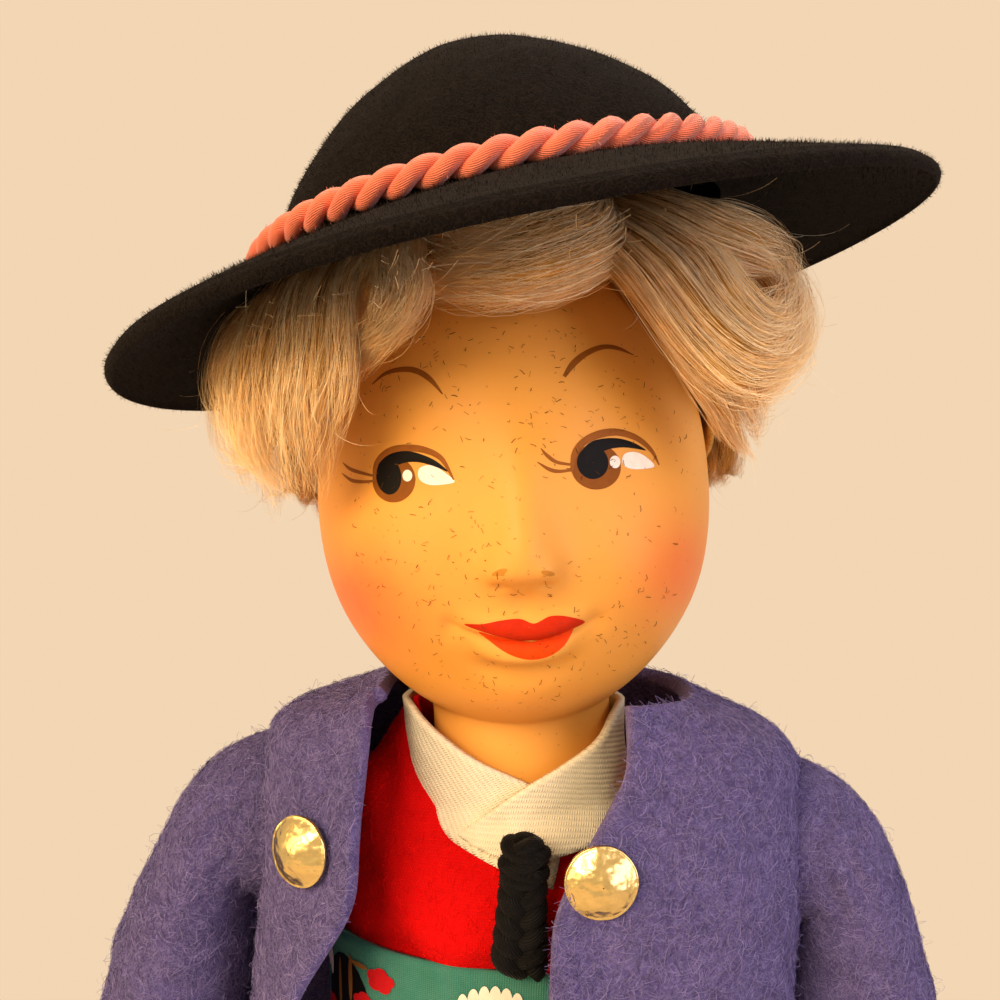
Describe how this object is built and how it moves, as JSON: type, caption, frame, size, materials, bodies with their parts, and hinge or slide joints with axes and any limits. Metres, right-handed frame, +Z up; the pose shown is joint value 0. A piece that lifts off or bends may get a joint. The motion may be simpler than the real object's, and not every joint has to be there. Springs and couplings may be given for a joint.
{
  "type": "costume doll",
  "caption": "Standing boy doll in alpine dress: head turns on a neck peg, arms and legs swing on pegs; felt jacket, tape collar, ribbon belt, brimmed felt hat.",
  "frame": {"origin": "on the floor under the middle of the doll's bounding box, between the soles", "axes": "+Z up, the doll faces -Y, its left hand is on +X"},
  "size_m": [0.0746, 0.069, 0.2008],
  "materials": {
    "composition": "moulded sawdust composition, painted, satin",
    "peg_wood": "turned, bare",
    "axle_wire": "drawn wire",
    "red_cloth": "smooth plain weave",
    "twill_tape": "woven twill",
    "black_yarn": "soft spun yarn",
    "woven_ribbon": "woven with flowers",
    "jacket_felt": "pressed wool felt",
    "button_brass": "stamped and polished",
    "breeches_felt": "pressed wool felt",
    "wig_cloth": "gauze",
    "mohair": "curled mohair",
    "hat_velour": "short pile velour felt",
    "hat_cord_rayon": "twisted cord",
    "stocking_knit": "fine knit",
    "shoe_leather": "smooth, blacked",
    "sole_leather": "cut edge"
  },
  "bodies": {
    "torso": {"torso_front": "composition", "torso_back": "composition", "hip_axle": "axle_wire", "waistcoat": "red_cloth", "collar_tape": "twill_tape", "tie": "black_yarn", "belt_ribbon": "woven_ribbon", "jacket_body": "jacket_felt", "button_right": "button_brass", "button_left": "button_brass", "breeches_seat": "breeches_felt"},
    "head": {"head_shell": "composition", "neck_peg": "peg_wood", "wig_cap": "wig_cloth", "wig_fringe": "mohair", "wig_left": "mohair", "wig_right": "mohair", "wig_back": "mohair", "hat_felt": "hat_velour", "hat_cord": "hat_cord_rayon"},
    "arm_left": {"arm_left": "composition", "arm_peg_left": "peg_wood", "sleeve_left": "jacket_felt"},
    "arm_right": {"arm_right": "composition", "arm_peg_right": "peg_wood", "sleeve_right": "jacket_felt"},
    "leg_left": {"leg_left": "composition", "breeches_leg_left": "breeches_felt", "stocking_left": "stocking_knit", "shoe_left": "shoe_leather", "sole_left": "sole_leather"},
    "leg_right": {"leg_right": "composition", "breeches_leg_right": "breeches_felt", "stocking_right": "stocking_knit", "shoe_right": "shoe_leather", "sole_right": "sole_leather"}
  },
  "joints": [
    {"name": "head_turn", "type": "hinge", "parent": "torso", "child": "head", "pos_m": [0, 0, 0.1315], "axis": [-0.0906, 0, 0.9959], "range_deg": [-40, 40]},
    {"name": "arm_left_swing", "type": "hinge", "parent": "torso", "child": "arm_left", "pos_m": [0.018, 0, 0.1345], "axis": [-1, 0, 0], "range_deg": [-25, 110]},
    {"name": "arm_right_swing", "type": "hinge", "parent": "torso", "child": "arm_right", "pos_m": [-0.018, 0, 0.1345], "axis": [-1, 0, 0], "range_deg": [-25, 110]},
    {"name": "leg_left_swing", "type": "hinge", "parent": "torso", "child": "leg_left", "pos_m": [0.0082, 0, 0.082], "axis": [-1, 0, 0], "range_deg": [-20, 90], "deforming": ["breeches_seat"]},
    {"name": "leg_right_swing", "type": "hinge", "parent": "torso", "child": "leg_right", "pos_m": [-0.0082, 0, 0.082], "axis": [-1, 0, 0], "range_deg": [-20, 90], "deforming": ["breeches_seat"]}
  ]
}
